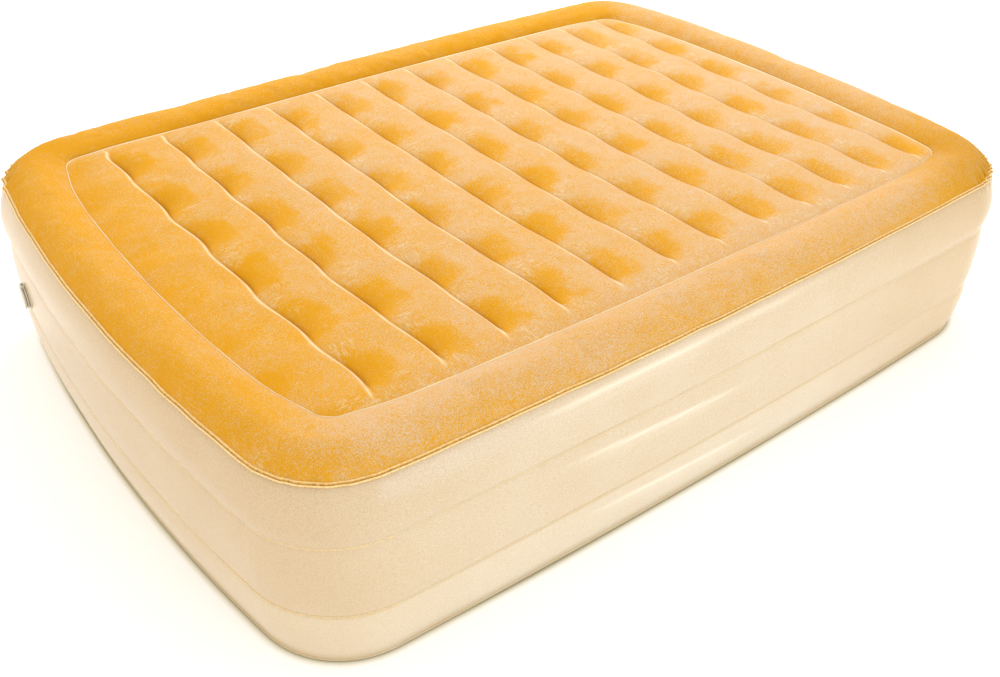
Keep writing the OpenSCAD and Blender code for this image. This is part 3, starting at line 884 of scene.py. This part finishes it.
def build_spring():
    """The stem's return spring, coiled round the valve's axis between the insert's hub and the button."""
    on_axis = np.array(valve_turn["pos_m"])
    inward = np.array(joints["stem_push"]["axis"])
    up = np.array([0.0, 0.0, 1.0])
    aside = np.cross(inward, up)
    cad = np.array([v.co[:] for v in frame["nodes"]["stem_spring"].data.vertices])
    depth = (cad - on_axis) @ inward
    first, last = depth.min() + WIRE_R, depth.max() - WIRE_R
    turn = np.linspace(0, 2 * math.pi * COIL_TURNS, COIL_STEPS)[:, None]
    round_wire = np.linspace(0, 2 * math.pi, WIRE_SIDES, endpoint=False)[None, :]
    # the wire thins at both ends
    wire = WIRE_R * np.minimum(1, 0.15 + 3 * np.minimum(turn, turn.max() - turn))
    out = COIL_R + wire * np.cos(round_wire)
    deep = first + (last - first) * turn / turn.max() + wire * np.sin(round_wire)
    high, wide = out * np.cos(turn), out * np.sin(turn)
    points = on_axis + deep[..., None] * inward + high[..., None] * up + wide[..., None] * aside
    index = np.arange(turn.size * WIRE_SIDES).reshape(-1, WIRE_SIDES)
    beside = np.roll(index, -1, axis=1)
    quads = np.stack([index[:-1], index[1:], beside[1:], beside[:-1]], -1).reshape(-1, 4)
    obj = mesh_object("release_spring", points, quads, steel)
    return obj, tuple(on_axis + inward * last), tuple(on_axis + inward * first)


spring, spring_foot, spring_head = build_spring()
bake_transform(spring)
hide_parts("stem_spring")

# ---------------------------------------------------------------- CAD nodes that stay in view
for name, obj in frame["nodes"].items():
    if obj.hide_render:
        continue
    if "beam" in name or "tie_sheet" in name:
        mat = inner_vinyl
    elif name in ("valve_gasket", "poppet_seal", "cap_gasket"):
        mat = rubber
    elif name == "cap_hinge_pin":
        mat = steel
    else:
        mat = plastic
    obj.data.materials.clear()
    obj.data.materials.append(mat)

# ---------------------------------------------------------------- floor, light and camera
# a pale floor that darkens only in the narrow shadow right beside the bed
floor_mat, floor_tree, floor_shader = new_material("floor", Roughness=0.9)
floor_shader.inputs["Specular IOR Level"].default_value = 0.0
near_bed = node(floor_tree, "ShaderNodeAmbientOcclusion", Distance=0.024)
stops = [(0.40, (0.28, 0.25, 0.15)), (0.58, (0.70, 0.68, 0.58)), (0.80, (0.88, 0.88, 0.88))]
shade = ramp(floor_tree, near_bed.outputs["AO"], stops)
floor_tree.links.new(shade, floor_shader.inputs["Base Color"])
floor_tree.links.new(shade, floor_shader.inputs["Emission Color"])
floor_shader.inputs["Emission Strength"].default_value = 0.24
bpy.ops.mesh.primitive_plane_add(size=40, location=(0, 0, -0.0005))
floor = bpy.context.object
floor.name = "floor"
floor.data.materials.append(floor_mat)

world = bpy.data.worlds.new("studio")
bpy.context.scene.world = world
world.use_nodes = True
# even light from all around, a little dimmer and warmer from the valve's end
sky = world.node_tree.nodes["Background"]
sky.inputs["Strength"].default_value = 1.27
where = node(world.node_tree, "ShaderNodeTexCoord")
parts = node(world.node_tree, "ShaderNodeSeparateXYZ")
world.node_tree.links.new(where.outputs["Generated"], parts.inputs[0])
side = scaled(world.node_tree, parts.outputs["X"], 0.5, 0.5)
stops = [(0.0, (0.88, 0.79, 0.66)), (0.45, (1.0, 0.985, 0.95)), (1.0, (0.95, 0.91, 0.84))]
world.node_tree.links.new(ramp(world.node_tree, side, stops), sky.inputs["Color"])


def area_light(name, at, target, size, power, colour):
    """A square light at a point, facing its target, that the camera itself doesn't see."""
    data = bpy.data.lights.new(name, "AREA")
    data.shape, data.size, data.energy, data.color = "SQUARE", size, power, colour
    obj = bpy.data.objects.new(name, data)
    bpy.context.scene.collection.objects.link(obj)
    obj.location = at
    obj.rotation_euler = (Vector(target) - Vector(at)).to_track_quat("-Z", "Y").to_euler()
    obj.visible_camera = False


for name, at, target, size, power, colour in [
    ("key", (2.0, 2.2, 2.8), (0, 0, 0.4), 1.5, 68, (1.0, 0.96, 0.90)),
    ("fill", (-0.25, -2.2, 0.30), (-0.25, -0.7, 0.22), 0.9, 5, (0.45, 0.68, 1.0)),
    ("glint", (2.10, -2.95, 0.50), (0.15, -0.7, 0.28), 0.32, 4, (1.0, 0.98, 0.95)),
]:
    area_light(name, at, target, size, power, colour)

# the camera looks at TARGET from DISTANCE away, slightly rolled, as the photograph was taken
TARGET, DISTANCE = Vector((-0.2951, -0.3478, 0.25)), 2.1814
camera_data = bpy.data.cameras.new("camera")
camera = bpy.data.objects.new("camera", camera_data)
bpy.context.scene.collection.objects.link(camera)
camera_data.sensor_width = 36
camera_data.lens = 40.54
azimuth, elevation, roll = math.radians(-38.5927), math.radians(35.4954), math.radians(1.2044)
level = math.cos(elevation)
back = Vector((math.sin(azimuth) * level, -math.cos(azimuth) * level, math.sin(elevation)))
camera.location = TARGET + back * DISTANCE
turn = (-back).to_track_quat("-Z", "Y").to_matrix().to_4x4()
camera.rotation_euler = (turn @ Matrix.Rotation(roll, 4, "Z")).to_euler()
bpy.context.scene.camera = camera
bpy.context.scene.view_settings.view_transform = "Standard"
